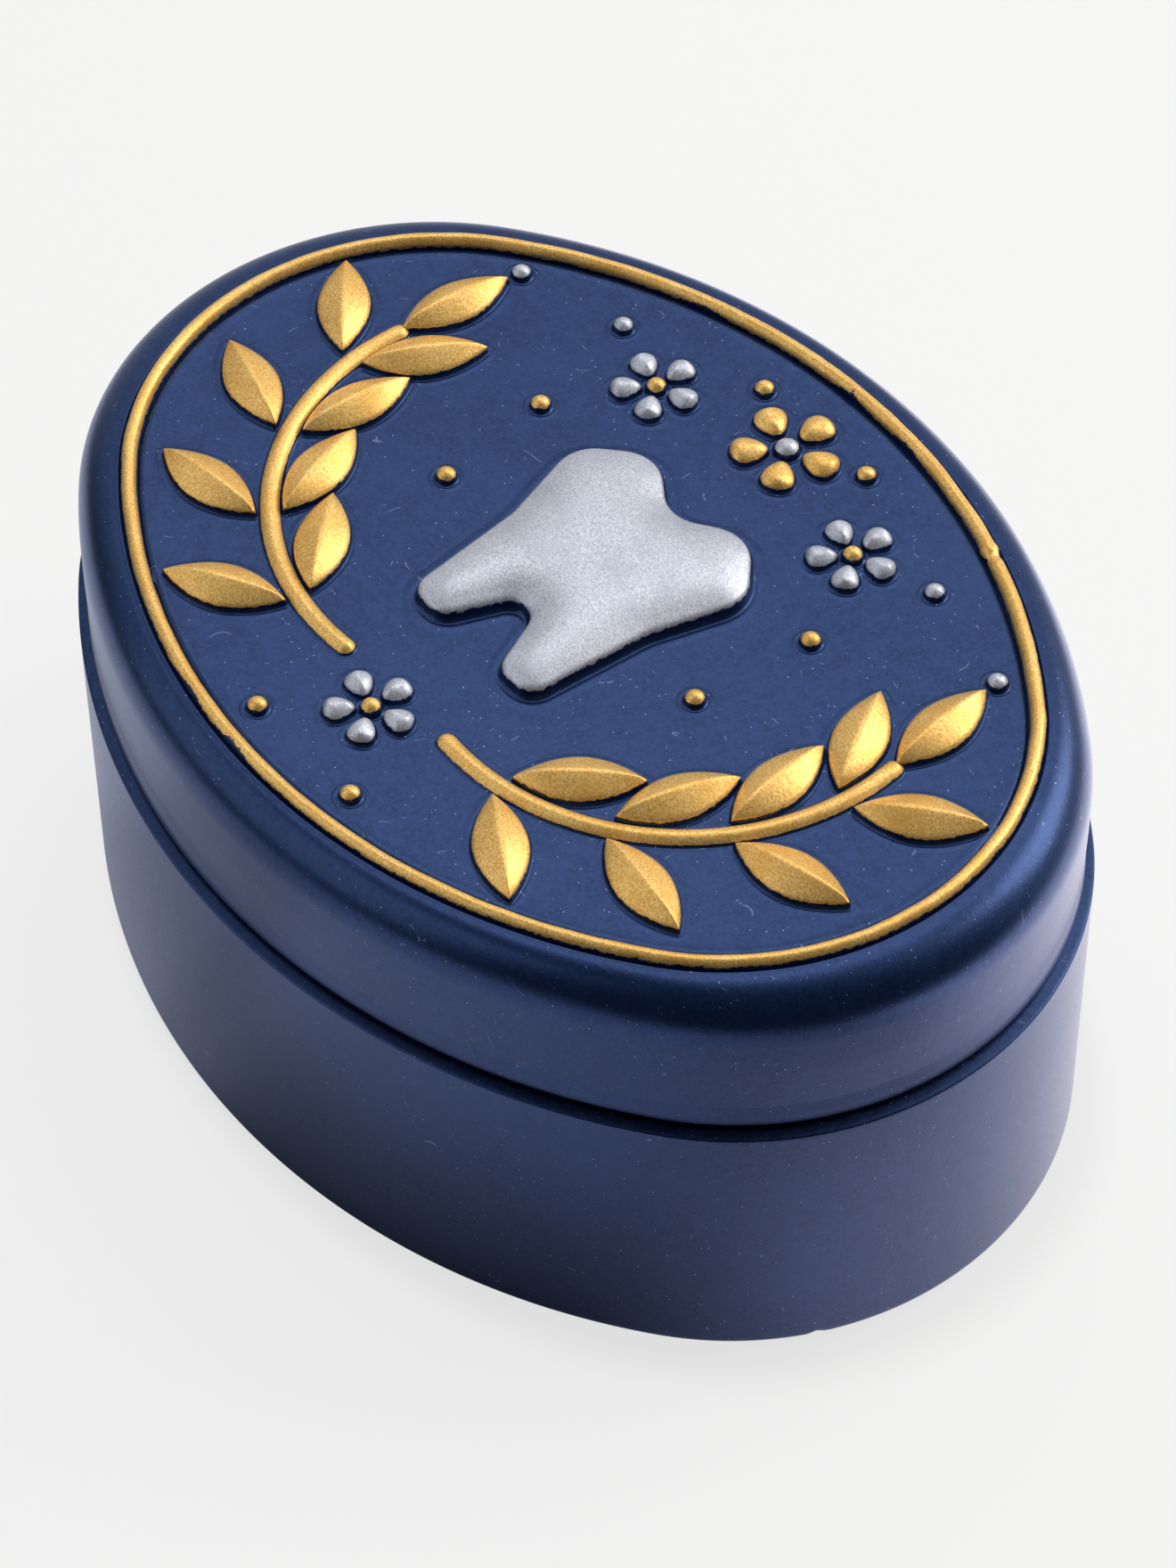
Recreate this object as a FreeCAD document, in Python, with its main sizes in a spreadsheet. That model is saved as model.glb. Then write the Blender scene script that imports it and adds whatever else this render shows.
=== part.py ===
import FreeCAD, Part
import math
import os

import Sketcher

# Oval keepsake box for a first tooth: a base with a lip round its mouth, a lift-off lid that drops over
# the lip, and raised ornament on the lid's panel. X is the long axis and Z is up. The origin lies under
# the middle of the felt sole, on the surface that the box stands on. Lengths are in millimetres.

SIZES = {
    # outline that the base and the lid share, an oval of four tangent arcs
    "box_length": 75.0,
    "box_width": 55.2,
    "end_radius": 22.4,
    # base
    "base_height": 21.1,
    "base_wall": 5.0,
    "base_floor": 4.5,
    "base_foot_chamfer": 0.4,
    "cavity_round": 3.0,
    "lip_width": 2.2,
    "lip_height": 3.0,
    "lip_chamfer": 0.4,
    # felt sole in a shallow recess under the base
    "felt_thickness": 1.0,
    "felt_recess": 0.6,
    "felt_margin": 3.5,
    "felt_clearance": 0.2,
    # lid
    "lid_height": 11.1,
    "lid_inset": 0.45,
    "lid_gap": 0.8,
    "lid_clearance": 0.35,
    "lid_roof": 4.4,
    "lid_edge_chamfer": 0.25,
    "shoulder_height": 3.6,
    "hollow_round": 2.0,
    "panel_recess": 0.2,
    # bead round the panel
    "bead_end_margin": 4.6,
    "bead_side_margin": 3.7,
    "bead_end_radius": 19.2,
    "bead_width": 1.0,
    "bead_height": 0.6,
    "bead_chamfer": 0.3,
    # tooth ornament
    "tooth_width": 17.0,
    "tooth_length": 19.0,
    "tooth_height": 2.0,
    "tooth_edge_chamfer": 0.9,
    "tooth_crown_round": 2.7,
    "tooth_root_round": 1.4,
    # sprigs
    "stem_radius": 0.6,
    "leaf_length": 8.0,
    "leaf_width": 3.4,
    "leaf_height": 1.4,
    "leaf_gap": 0.3,
    "sprig_clearance": 1.3,
    # flowers and pearls
    "large_flower_radius": 3.6,
    "small_flower_radius": 2.9,
    "petal_height": 0.9,
    "pearl_radius": 0.75,
    "pearl_height": 0.8,
}

# Steps of the ruled quarter rounds: the lid's shoulder, the cavity's floor and the hollow's roof.
SHOULDER_STEPS = 5
CAVITY_STEPS = 3
HOLLOW_STEPS = 2

# Right half of the tooth from the dip between its cusps to the notch between its roots, in half widths and
# half lengths. Corners above the waist get the crown's rounding, the others the roots', and both are
# limited by the tooth's size, as the chamfer is by the roots' rounding.
TOOTH_OUTLINE_SHARES = [
    (0.0, 0.66),
    (0.52, 0.99),
    (0.99, 0.60),
    (0.76, -0.08),
    (0.67, -1.0),
    (0.33, -1.0),
    (0.0, -0.30),
]
TOOTH_WAIST_SHARE = -0.10
CROWN_ROUND_LIMIT_SHARES = (0.32, 0.29)
ROOT_ROUND_LIMIT_SHARE = 0.165
TOOTH_CHAMFER_LIMIT_SHARE = 0.7
TOOTH_PLACE_SHARES = (0.0, 0.05)

# Far side of a leaf and of a petal from base to tip, in half lengths and half widths, and the two ends of
# their ridge, in half lengths and heights.
LEAF_SIDE_SHARES = [(-1.0, 0.0), (-0.5, 0.68), (0.0, 1.0), (0.55, 0.66), (1.0, 0.0)]
PETAL_SIDE_SHARES = [(-1.0, 0.0), (-0.4, 0.75), (0.3, 1.0), (0.85, 0.7), (1.0, 0.0)]
RIDGE_SHARES = [(-0.4, 0.85), (0.3, 1.0)]

# Half section of a stem, in stem radii.
STEM_PROFILE_SHARES = [(-1.0, 0.0), (-1.0, 0.4), (-0.45, 0.95), (0.45, 0.95), (1.0, 0.4), (1.0, 0.0)]

# Arc of the right sprig, with its centre in half lengths and half widths of the panel.
WREATH_CENTRE_SHARES = (0.20, 0.14)
STEM_START_ANGLE = -95
STEM_SWEEP_ANGLE = 101
LEAF_PAIR_ANGLES = (-82, -58, -34, -10)
LEAF_LEAN_ANGLE = 40

# Flowers and pearls, in half lengths and half widths of the panel. Those off the middle have a twin at left.
GOLD_FLOWER_SHARES = [("large", 0.0, 0.74)]
SILVER_FLOWER_SHARES = [("small", 0.29, 0.62), ("small", 0.0, -0.68)]
GOLD_PEARL_SHARES = [(0.15, 0.84), (0.40, 0.34), (0.37, -0.02), (0.14, -0.90)]
SILVER_PEARL_SHARES = [(0.46, 0.70)]
PETALS = 5
PETAL_LENGTH_SHARE = 0.66
PETAL_WIDTH_SHARE = 0.56
FLOWER_HEART_SHARE = 0.26

# Rings of a pearl from its foot to its crown, in radii and heights.
PEARL_RING_SHARES = [(1.0, 0.0), (0.86, 0.6), (0.42, 1.0)]
PEARL_SIDES = 10

doc = FreeCAD.newDocument("ToothBox")
sheet = doc.addObject("Spreadsheet::Sheet", "Sizes")
for row, (alias, value) in enumerate(SIZES.items(), 1):
    sheet.set(f"A{row}", alias)
    sheet.set(f"B{row}", str(value))
    sheet.setAlias(f"B{row}", alias)
doc.recompute()


def size(alias):
    """Expression that reads one cell of the sheet."""
    return f"Sizes.{alias}"


def number(expression):
    """Present value of an expression."""
    return float(sheet.evalExpression(expression))


# Levels above the surface that the box stands on.
BASE_BOTTOM = f"({size('felt_thickness')} - {size('felt_recess')})"
FLOOR = f"({BASE_BOTTOM} + {size('base_floor')})"
LEDGE = f"({BASE_BOTTOM} + {size('base_height')})"
LIP_TOP = f"({LEDGE} + {size('lip_height')})"
LID_LOW = f"({LEDGE} + {size('lid_gap')})"
LID_TOP = f"({LID_LOW} + {size('lid_height')})"
SHOULDER_LOW = f"({LID_TOP} - {size('shoulder_height')})"
PANEL = f"({LID_TOP} - {size('panel_recess')})"
ROOF = f"({PANEL} - {size('lid_roof')})"

# Insets of the lip's outside and of the lid's socket from the outline.
LIP_OUTSIDE = f"({size('base_wall')} - {size('lip_width')})"
SOCKET = f"({LIP_OUTSIDE} - {size('lid_clearance')})"

HALF_LENGTH = f"({size('box_length')} / 2)"
HALF_WIDTH = f"({size('box_width')} / 2)"
BEAD_HALF = f"({size('bead_width')} / 2)"
BEAD_HALF_LENGTH = f"({HALF_LENGTH} - {size('bead_end_margin')})"
BEAD_HALF_WIDTH = f"({HALF_WIDTH} - {size('bead_side_margin')})"
PANEL_HALF_LENGTH = f"({BEAD_HALF_LENGTH} - {BEAD_HALF})"
PANEL_HALF_WIDTH = f"({BEAD_HALF_WIDTH} - {BEAD_HALF})"

# Numbers by which a sketch knows the points of a line or arc, its axes and its origin.
START, FINISH, CENTRE = range(1, 4)
AXIS_X, AXIS_Y = range(-1, -3, -1)
ORIGIN = (AXIS_X, START)

# Distance within which two points count as one.
NEAR = Part.Precision.approximation()


class Oval:
    """Oval of four tangent arcs, held as expressions."""

    def __init__(self, half_length, half_width, end_radius):
        self.measures = (half_length, half_width, end_radius)
        self.end = end_radius
        self.side = (
            f"(({half_length}^2 + {half_width}^2 - 2 * {half_length} * {end_radius})"
            f" / (2 * ({half_width} - {end_radius})))"
        )
        self.end_centre = f"({half_length} - {end_radius})"
        self.side_centre = f"({self.side} - {half_width})"

    def inset(self, distance):
        """Parallel oval, further in by a distance."""
        return Oval(*(f"({measure} - {distance})" for measure in self.measures))

    def blend(self, other, share):
        """Oval part of the way to another one."""
        pairs = zip(self.measures, other.measures)
        return Oval(*(f"({mine} + ({theirs} - {mine}) * {share})" for mine, theirs in pairs))

    def draw(self, sketch):
        end, side = number(self.end), number(self.side)
        end_centre, side_centre = number(self.end_centre), number(self.side_centre)
        turn = math.atan2(side_centre, end_centre)
        arcs = (
            (FreeCAD.Vector(end_centre, 0, 0), end, -turn, turn),
            (FreeCAD.Vector(0, -side_centre, 0), side, turn, math.pi - turn),
            (FreeCAD.Vector(-end_centre, 0, 0), end, math.pi - turn, math.pi + turn),
            (FreeCAD.Vector(0, side_centre, 0), side, math.pi + turn, 2 * math.pi - turn),
        )
        upright = FreeCAD.Vector(0, 0, 1)
        right, top, left, bottom = (
            sketch.addGeometry(Part.ArcOfCircle(Part.Circle(centre, upright, radius), first, last))
            for centre, radius, first, last in arcs
        )
        for arc, following in ((right, top), (top, left), (left, bottom)):
            sketch.addConstraint(Sketcher.Constraint("Tangent", arc, FINISH, following, START))
        sketch.addConstraint(Sketcher.Constraint("PointOnObject", right, CENTRE, AXIS_X))
        sketch.addConstraint(Sketcher.Constraint("PointOnObject", top, CENTRE, AXIS_Y))
        sketch.addConstraint(Sketcher.Constraint("Symmetric", right, CENTRE, left, CENTRE, *ORIGIN))
        sketch.addConstraint(Sketcher.Constraint("Symmetric", top, CENTRE, bottom, CENTRE, *ORIGIN))
        sketch.addConstraint(Sketcher.Constraint("Vertical", right, START, right, FINISH))
        sketch.addConstraint(Sketcher.Constraint("Horizontal", bottom, START, bottom, FINISH))
        bind(sketch, Sketcher.Constraint("Radius", right, end), self.end)
        bind(sketch, Sketcher.Constraint("Radius", top, side), self.side)
        bind(sketch, Sketcher.Constraint("DistanceX", *ORIGIN, right, CENTRE, end_centre), self.end_centre)


OUTLINE = Oval(HALF_LENGTH, HALF_WIDTH, size("end_radius"))
BEAD_LINE = Oval(BEAD_HALF_LENGTH, BEAD_HALF_WIDTH, size("bead_end_radius"))


def bind(sketch, constraint, expression):
    """Add a dimension to a sketch and tie it to the sheet."""
    index = sketch.addConstraint(constraint)
    sketch.setExpression(f"Constraints[{index}]", expression)


def place(item, x, y, z, angle="0"):
    """Tie an object's place, and its turn about Z, to the sheet."""
    for name, expression in (("Base.x", x), ("Base.y", y), ("Base.z", z), ("Rotation.Angle", angle)):
        item.setExpression(f"Placement.{name}", expression)


def new_body(label):
    body = doc.addObject("PartDesign::Body", label)
    body.Label = label
    return body


def new_sketch(body, name, height="0", plane="XY_Plane"):
    """Sketch on one of the body's origin planes, moved off it by a height."""
    sketch = body.newObject("Sketcher::SketchObject", name)
    support = next(item for item in body.Origin.OriginFeatures if item.Role == plane)
    sketch.AttachmentSupport = [(support, "")]
    sketch.MapMode = "FlatFace"
    sketch.setExpression("AttachmentOffset.Base.z", height)
    return sketch


def oval_sketch(body, name, height, *ovals):
    sketch = new_sketch(body, name, height)
    for oval in ovals:
        oval.draw(sketch)
    doc.recompute()
    return sketch


def polygon_sketch(body, name, corners, height="0", plane="XY_Plane"):
    """Closed outline through corners given as pairs of expressions."""
    sketch = new_sketch(body, name, height, plane)
    points = [FreeCAD.Vector(number(x), number(y), 0) for x, y in corners]
    ends = points[1:] + points[:1]
    lines = [sketch.addGeometry(Part.LineSegment(first, last)) for first, last in zip(points, ends)]
    for line, following in zip(lines, lines[1:] + lines[:1]):
        sketch.addConstraint(Sketcher.Constraint("Coincident", line, FINISH, following, START))
    for line, point, (x, y) in zip(lines, points, corners):
        ways = (("DistanceX", AXIS_Y, point.x, x), ("DistanceY", AXIS_X, point.y, y))
        for kind, axis, value, expression in ways:
            if value == 0:
                sketch.addConstraint(Sketcher.Constraint("PointOnObject", line, START, axis))
            else:
                bind(sketch, Sketcher.Constraint(kind, *ORIGIN, line, START, value), expression)
    doc.recompute()
    return sketch


def extrude(kind, body, name, sketch, length, reverse=False):
    """Pad upwards, or pocket downwards, from a sketch; reverse turns it the other way."""
    feature = body.newObject(f"PartDesign::{kind}", name)
    feature.Profile = sketch
    feature.Reversed = reverse
    feature.setExpression("Length", length)
    doc.recompute()


def quarter_round(kind, body, name, upright, flat, start, rise, steps):
    """Loft through ovals on a quarter round that leaves one oval upright and reaches another one flat."""
    sections = []
    for step in range(steps + 1):
        angle = 90 * step / steps
        oval = upright.blend(flat, f"(1 - cos({angle}))")
        sections.append(oval_sketch(body, f"{name}_{step}", f"{start} + {rise} * sin({angle})", oval))
    feature = body.newObject(f"PartDesign::{kind}", name)
    feature.Profile = sections[0]
    feature.Sections = sections[1:]
    feature.Ruled = True
    doc.recompute()


def edges_at(body, height):
    """Names of the body's edges that lie flat at a height."""
    level = number(height)
    return [
        f"Edge{index}"
        for index, edge in enumerate(body.Shape.Edges, 1)
        if edge.BoundBox.ZLength < NEAR and abs(edge.Vertexes[0].Z - level) < NEAR
    ]


def dress(kind, body, name, edges, measure):
    """Fillet or chamfer on edges of the body's last feature."""
    base = body.Tip
    feature = body.newObject(f"PartDesign::{kind}", name)
    feature.Base = (base, edges)
    feature.setExpression("Radius" if kind == "Fillet" else "Size", measure)
    doc.recompute()


def make_base():
    body = new_body("base_box")
    block = oval_sketch(body, "block_outline", BASE_BOTTOM, OUTLINE)
    extrude("Pad", body, "block", block, size("base_height"))
    lip = oval_sketch(body, "lip_outline", LEDGE, OUTLINE.inset(LIP_OUTSIDE))
    extrude("Pad", body, "lip", lip, size("lip_height"))
    mouth = OUTLINE.inset(size("base_wall"))
    round_top = f"({FLOOR} + {size('cavity_round')})"
    cavity = oval_sketch(body, "cavity_outline", LIP_TOP, mouth)
    extrude("Pocket", body, "cavity", cavity, f"{LIP_TOP} - {round_top}")
    bottom = mouth.inset(size("cavity_round"))
    drop = f"(-{size('cavity_round')})"
    quarter_round("SubtractiveLoft", body, "cavity_floor", mouth, bottom, round_top, drop, CAVITY_STEPS)
    dress("Chamfer", body, "lip_lead_in", edges_at(body, LIP_TOP), size("lip_chamfer"))
    dress("Chamfer", body, "foot_edge", edges_at(body, BASE_BOTTOM), size("base_foot_chamfer"))
    recess = oval_sketch(body, "recess_outline", BASE_BOTTOM, OUTLINE.inset(size("felt_margin")))
    extrude("Pocket", body, "recess", recess, size("felt_recess"), reverse=True)
    return body


def make_felt():
    body = new_body("felt_sole")
    inset = f"({size('felt_margin')} + {size('felt_clearance')})"
    outline = oval_sketch(body, "felt_outline", "0", OUTLINE.inset(inset))
    extrude("Pad", body, "felt", outline, size("felt_thickness"))
    return body


def make_lid():
    body = new_body("lid")
    outside = OUTLINE.inset(size("lid_inset"))
    wall = oval_sketch(body, "wall_outline", LID_LOW, outside)
    extrude("Pad", body, "wall", wall, f"{SHOULDER_LOW} - {LID_LOW}")
    land = BEAD_LINE.inset(f"(-{BEAD_HALF})")
    rise = size("shoulder_height")
    quarter_round("AdditiveLoft", body, "shoulder", outside, land, SHOULDER_LOW, rise, SHOULDER_STEPS)
    socket = oval_sketch(body, "socket_outline", LID_LOW, OUTLINE.inset(SOCKET))
    extrude("Pocket", body, "socket", socket, f"{LIP_TOP} - {LID_LOW}", reverse=True)
    mouth = OUTLINE.inset(size("base_wall"))
    round_low = f"({ROOF} - {size('hollow_round')})"
    hollow = oval_sketch(body, "hollow_outline", LIP_TOP, mouth)
    extrude("Pocket", body, "hollow", hollow, f"{round_low} - {LIP_TOP}", reverse=True)
    top = mouth.inset(size("hollow_round"))
    lift = size("hollow_round")
    quarter_round("SubtractiveLoft", body, "hollow_roof", mouth, top, round_low, lift, HOLLOW_STEPS)
    dress("Chamfer", body, "lower_edge", edges_at(body, LID_LOW), size("lid_edge_chamfer"))
    panel = oval_sketch(body, "panel_outline", LID_TOP, BEAD_LINE.inset(BEAD_HALF))
    extrude("Pocket", body, "panel", panel, size("panel_recess"))
    return body


def make_bead():
    body = new_body("rim_bead")
    ovals = (BEAD_LINE.inset(BEAD_HALF), BEAD_LINE.inset(f"(-{BEAD_HALF})"))
    ring = oval_sketch(body, "bead_outline", LID_TOP, *ovals)
    extrude("Pad", body, "ring", ring, size("bead_height"))
    crown = edges_at(body, f"{LID_TOP} + {size('bead_height')}")
    dress("Chamfer", body, "crown", crown, size("bead_chamfer"))
    return body


def panel_place(x_share, y_share):
    """Expressions for a place on the panel."""
    return f"{PANEL_HALF_LENGTH} * {x_share}", f"{PANEL_HALF_WIDTH} * {y_share}"


def make_tooth():
    body = new_body("tooth_relief")
    right = TOOTH_OUTLINE_SHARES
    left = [(-x, y) for x, y in reversed(right) if x]
    half_width, half_length = f"({size('tooth_width')} / 2)", f"({size('tooth_length')} / 2)"
    corners = [(f"{half_width} * {x}", f"{half_length} * {y}") for x, y in right + left]
    outline = polygon_sketch(body, "tooth_outline", corners)
    extrude("Pad", body, "tooth", outline, size("tooth_height"))
    waist = number(f"{half_length} * {TOOTH_WAIST_SHARE}")
    upright = [
        edge.Vertexes[0].Point
        for edge in body.Shape.Edges
        if edge.BoundBox.ZLength > number(size("tooth_height")) / 2
    ]
    across, along = CROWN_ROUND_LIMIT_SHARES
    crown_round = f"min({size('tooth_crown_round')}; {half_width} * {across}; {half_length} * {along})"
    root_round = f"min({size('tooth_root_round')}; {half_width} * {ROOT_ROUND_LIMIT_SHARE})"
    crown = [point for point in upright if point.y > waist]
    roots = [point for point in upright if point.y < waist]
    dress("Fillet", body, "crown", upright_edges(body, crown), crown_round)
    dress("Fillet", body, "roots", upright_edges(body, roots), root_round)
    top = edges_at(body, size("tooth_height"))
    chamfer = f"min({size('tooth_edge_chamfer')}; {root_round} * {TOOTH_CHAMFER_LIMIT_SHARE})"
    dress("Chamfer", body, "edge", top, chamfer)
    place(body, *panel_place(*TOOTH_PLACE_SHARES), PANEL)
    return body


def upright_edges(body, points):
    """Names of the body's upright edges that stand over or under given points."""
    names = []
    for index, edge in enumerate(body.Shape.Edges, 1):
        foot = edge.Vertexes[0].Point
        straight = math.hypot(edge.BoundBox.XLength, edge.BoundBox.YLength) < NEAR
        if straight and any(math.hypot(foot.x - point.x, foot.y - point.y) < NEAR for point in points):
            names.append(f"Edge{index}")
    return names


# Leaves start off the stem. The stem's arc leaves room for them at the panel's side and at its end.
OFF_STEM = f"(({size('stem_radius')} + {size('leaf_gap')}) / sin({LEAF_LEAN_ANGLE}))"
LEAF_REACH = f"({OFF_STEM} + {size('leaf_length')})"
WREATH_X, WREATH_Y = panel_place(*WREATH_CENTRE_SHARES)
SIDE_ROOM = f"{PANEL_HALF_WIDTH} - {LEAF_REACH} * sin({LEAF_LEAN_ANGLE})"
END_ROOM = (
    f"{PANEL_HALF_LENGTH} - {WREATH_X} - {LEAF_REACH} * cos({LEAF_LEAN_ANGLE}) - {size('sprig_clearance')}"
)
WREATH_RADIUS = f"min({SIDE_ROOM}; {END_ROOM})"
STEM_TIP_ANGLE = STEM_START_ANGLE + STEM_SWEEP_ANGLE


def stem_point(angle):
    """Place on the right stem's arc."""
    return f"{WREATH_X} + {WREATH_RADIUS} * cos({angle})", f"{WREATH_Y} + {WREATH_RADIUS} * sin({angle})"


def make_stem():
    body = new_body("stem_right")
    radius = size("stem_radius")
    corners = [(f"{WREATH_RADIUS} + {radius} * {x}", f"{radius} * {y}") for x, y in STEM_PROFILE_SHARES]
    profile = polygon_sketch(body, "stem_profile", corners, plane="XZ_Plane")
    stem = body.newObject("PartDesign::Revolution", "stem")
    stem.Profile = profile
    stem.ReferenceAxis = (profile, ["V_Axis"])
    stem.Angle = STEM_SWEEP_ANGLE
    place(body, WREATH_X, WREATH_Y, PANEL, str(STEM_START_ANGLE))
    doc.recompute()
    return body


def faceted(name, facets):
    """Solid with flat facets, each given by its corners."""
    faces = [Part.Face(Part.makePolygon([*facet, facet[0]])) for facet in facets]
    solid = Part.makeSolid(Part.makeShell(faces))
    item = doc.addObject("Part::Feature", name)
    item.Shape = solid if solid.Volume > 0 else solid.reversed()
    return item


def make_blade(name, side_shares, length, width, height):
    """Leaf or petal along X that rises from its outline to a ridge."""
    half_length, half_width, top = number(f"{length} / 2"), number(f"{width} / 2"), number(height)
    back, front = (FreeCAD.Vector(x * half_length, 0, z * top) for x, z in RIDGE_SHARES)
    left, right = (
        [FreeCAD.Vector(x * half_length, turn * y * half_width, 0) for x, y in side_shares]
        for turn in (1, -1)
    )
    facets = [left[:-1] + right[:0:-1]]
    for tail, behind, widest, ahead, tip in (left, right):
        facets += [(tail, behind, back), (behind, widest, back), (widest, back, front)]
        facets += [(widest, ahead, front), (ahead, tip, front)]
    return faceted(name, facets)


def make_pearl(name, radius, height):
    """Domed stud with facets round it."""
    foot, top = number(radius), number(height)
    angles = [2 * math.pi * side / PEARL_SIDES for side in range(PEARL_SIDES)]
    rings = [
        [FreeCAD.Vector(reach * foot * math.cos(a), reach * foot * math.sin(a), level * top) for a in angles]
        for reach, level in PEARL_RING_SHARES
    ]
    facets = [rings[0], rings[-1]]
    for lower, upper in zip(rings, rings[1:]):
        for side in range(PEARL_SIDES):
            facets.append((lower[side - 1], lower[side], upper[side], upper[side - 1]))
    return faceted(name, facets)


def copy(item, name, x, y, heading=0):
    """Copy of an ornament, standing on the panel."""
    twin = doc.addObject("App::Link", name)
    twin.LinkedObject = item
    place(twin, x, y, PANEL, str(heading))
    return twin


def copy_along(item, name, x, y, reach, heading):
    """Copy whose middle lies at a reach from a point, along its heading."""
    return copy(item, name, f"{x} + {reach} * cos({heading})", f"{y} + {reach} * sin({heading})", heading)


def make_leaves():
    """Pairs of leaves along the right stem and one leaf at its tip."""
    length = size("leaf_length")
    blade = make_blade("leaf", LEAF_SIDE_SHARES, length, size("leaf_width"), size("leaf_height"))
    leans = (-LEAF_LEAN_ANGLE, LEAF_LEAN_ANGLE)
    rows = [(angle, lean, OFF_STEM) for angle in LEAF_PAIR_ANGLES for lean in leans]
    rows.append((STEM_TIP_ANGLE, 0, size("leaf_gap")))
    leaves = []
    for angle, lean, gap in rows:
        reach = f"({gap} + {length} / 2)"
        leaves.append(copy_along(blade, "right_leaf", *stem_point(angle), reach, angle + 90 + lean))
    return group("leaves_right", leaves)


def group(label, items):
    """Separate solids under one name."""
    compound = doc.addObject("Part::Compound", label)
    compound.Label = label
    compound.Links = items
    doc.recompute()
    return compound


def mirror(item, label):
    """Twin of an object on the other side of the box's short axis."""
    twin = doc.addObject("Part::Mirroring", label)
    twin.Label = label
    twin.Source = item
    twin.Normal = FreeCAD.Vector(1, 0, 0)
    doc.recompute()
    return twin


def both_sides(x_share, y_share):
    """A place on the panel and, off the middle, its twin."""
    return [(x_share, y_share), (-x_share, y_share)] if x_share else [(x_share, y_share)]


def make_petals(metal, flower_shares):
    petals = []
    for flower, *shares in flower_shares:
        radius = size(f"{flower}_flower_radius")
        length = f"({radius} * {PETAL_LENGTH_SHARE})"
        width = f"({radius} * {PETAL_WIDTH_SHARE})"
        blade = make_blade(f"{metal}_{flower}_petal", PETAL_SIDE_SHARES, length, width, size("petal_height"))
        for x, y in (panel_place(*twin) for twin in both_sides(*shares)):
            for petal in range(PETALS):
                heading = 90 + 360 * petal / PETALS
                reach = f"({radius} - {length} / 2)"
                petals.append(copy_along(blade, f"{metal}_petal", x, y, reach, heading))
    return group(f"{metal}_petals", petals)


def make_pearls(metal, pearl_shares, flower_shares, pearl_places=()):
    """Loose pearls, and the hearts of the other metal's flowers."""
    pearl = make_pearl(f"{metal}_pearl", size("pearl_radius"), size("pearl_height"))
    rows = [(pearl, *shares) for shares in pearl_shares]
    for flower, *shares in flower_shares:
        radius = f"{size(f'{flower}_flower_radius')} * {FLOWER_HEART_SHARE}"
        rows.append((make_pearl(f"{metal}_heart", radius, size("petal_height")), *shares))
    pearls = [copy(pearl, f"{metal}_stud", x, y) for x, y in pearl_places]
    for item, *shares in rows:
        for x, y in (panel_place(*twin) for twin in both_sides(*shares)):
            pearls.append(copy(item, f"{metal}_stud", x, y))
    return group(f"{metal}_pearls", pearls)


def sprig_tips():
    """Places for a pearl past each sprig's last leaf."""
    x, y = stem_point(STEM_TIP_ANGLE)
    reach = f"({size('leaf_length')} + {size('leaf_gap')} * 2 + {size('pearl_radius')})"
    heading = STEM_TIP_ANGLE + 90
    x, y = f"({x} + {reach} * cos({heading}))", f"{y} + {reach} * sin({heading})"
    return [(x, y), (f"-{x}", y)]


def main():
    stem = make_stem()
    leaves = make_leaves()
    parts = [
        make_base(),
        make_felt(),
        make_lid(),
        make_bead(),
        make_tooth(),
        stem,
        mirror(stem, "stem_left"),
        leaves,
        mirror(leaves, "leaves_left"),
        make_petals("gold", GOLD_FLOWER_SHARES),
        make_petals("silver", SILVER_FLOWER_SHARES),
        make_pearls("gold", GOLD_PEARL_SHARES, SILVER_FLOWER_SHARES),
        make_pearls("silver", SILVER_PEARL_SHARES, GOLD_FLOWER_SHARES, sprig_tips()),
    ]
    doc.recompute()
    for item in doc.Objects:
        if {"Invalid", "Error"} & set(item.State):
            raise RuntimeError(f"{item.Name} failed: {item.State}")
    for item in parts:
        if item.Shape.isNull() or not item.Shape.isValid():
            raise RuntimeError(f"{item.Label} has no valid shape")
    os.makedirs("parts", exist_ok=True)
    for item in parts:
        item.Shape.exportStep(os.path.join("parts", f"{item.Label}.step"))
        print(item.Label, len(item.Shape.Solids), "solids", round(item.Shape.Volume, 2))


main()
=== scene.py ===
import math

import bmesh
import bpy
import numpy as np
from mathutils import Matrix, Vector, geometry, noise


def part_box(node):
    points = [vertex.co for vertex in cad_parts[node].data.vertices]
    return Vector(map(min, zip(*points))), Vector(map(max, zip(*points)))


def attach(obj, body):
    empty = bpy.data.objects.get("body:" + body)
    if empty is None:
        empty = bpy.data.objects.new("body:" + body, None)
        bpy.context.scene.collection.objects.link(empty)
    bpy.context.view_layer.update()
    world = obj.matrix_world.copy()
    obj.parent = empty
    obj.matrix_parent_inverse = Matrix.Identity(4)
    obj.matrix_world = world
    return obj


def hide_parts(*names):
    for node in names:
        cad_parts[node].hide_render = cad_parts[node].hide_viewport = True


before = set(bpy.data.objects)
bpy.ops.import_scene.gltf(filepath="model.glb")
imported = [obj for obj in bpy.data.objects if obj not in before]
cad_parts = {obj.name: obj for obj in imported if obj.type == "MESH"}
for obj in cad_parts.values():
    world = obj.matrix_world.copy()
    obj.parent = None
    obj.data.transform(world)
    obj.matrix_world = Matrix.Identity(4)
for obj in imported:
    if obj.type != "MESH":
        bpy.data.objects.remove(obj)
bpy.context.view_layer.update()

# Shapes are worked out in millimetres and meshes are made in metres.
MM = 0.001


def span(node):
    """A node's lowest and highest corner, in millimetres."""
    low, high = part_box(node)
    return low / MM, high / MM


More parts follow.
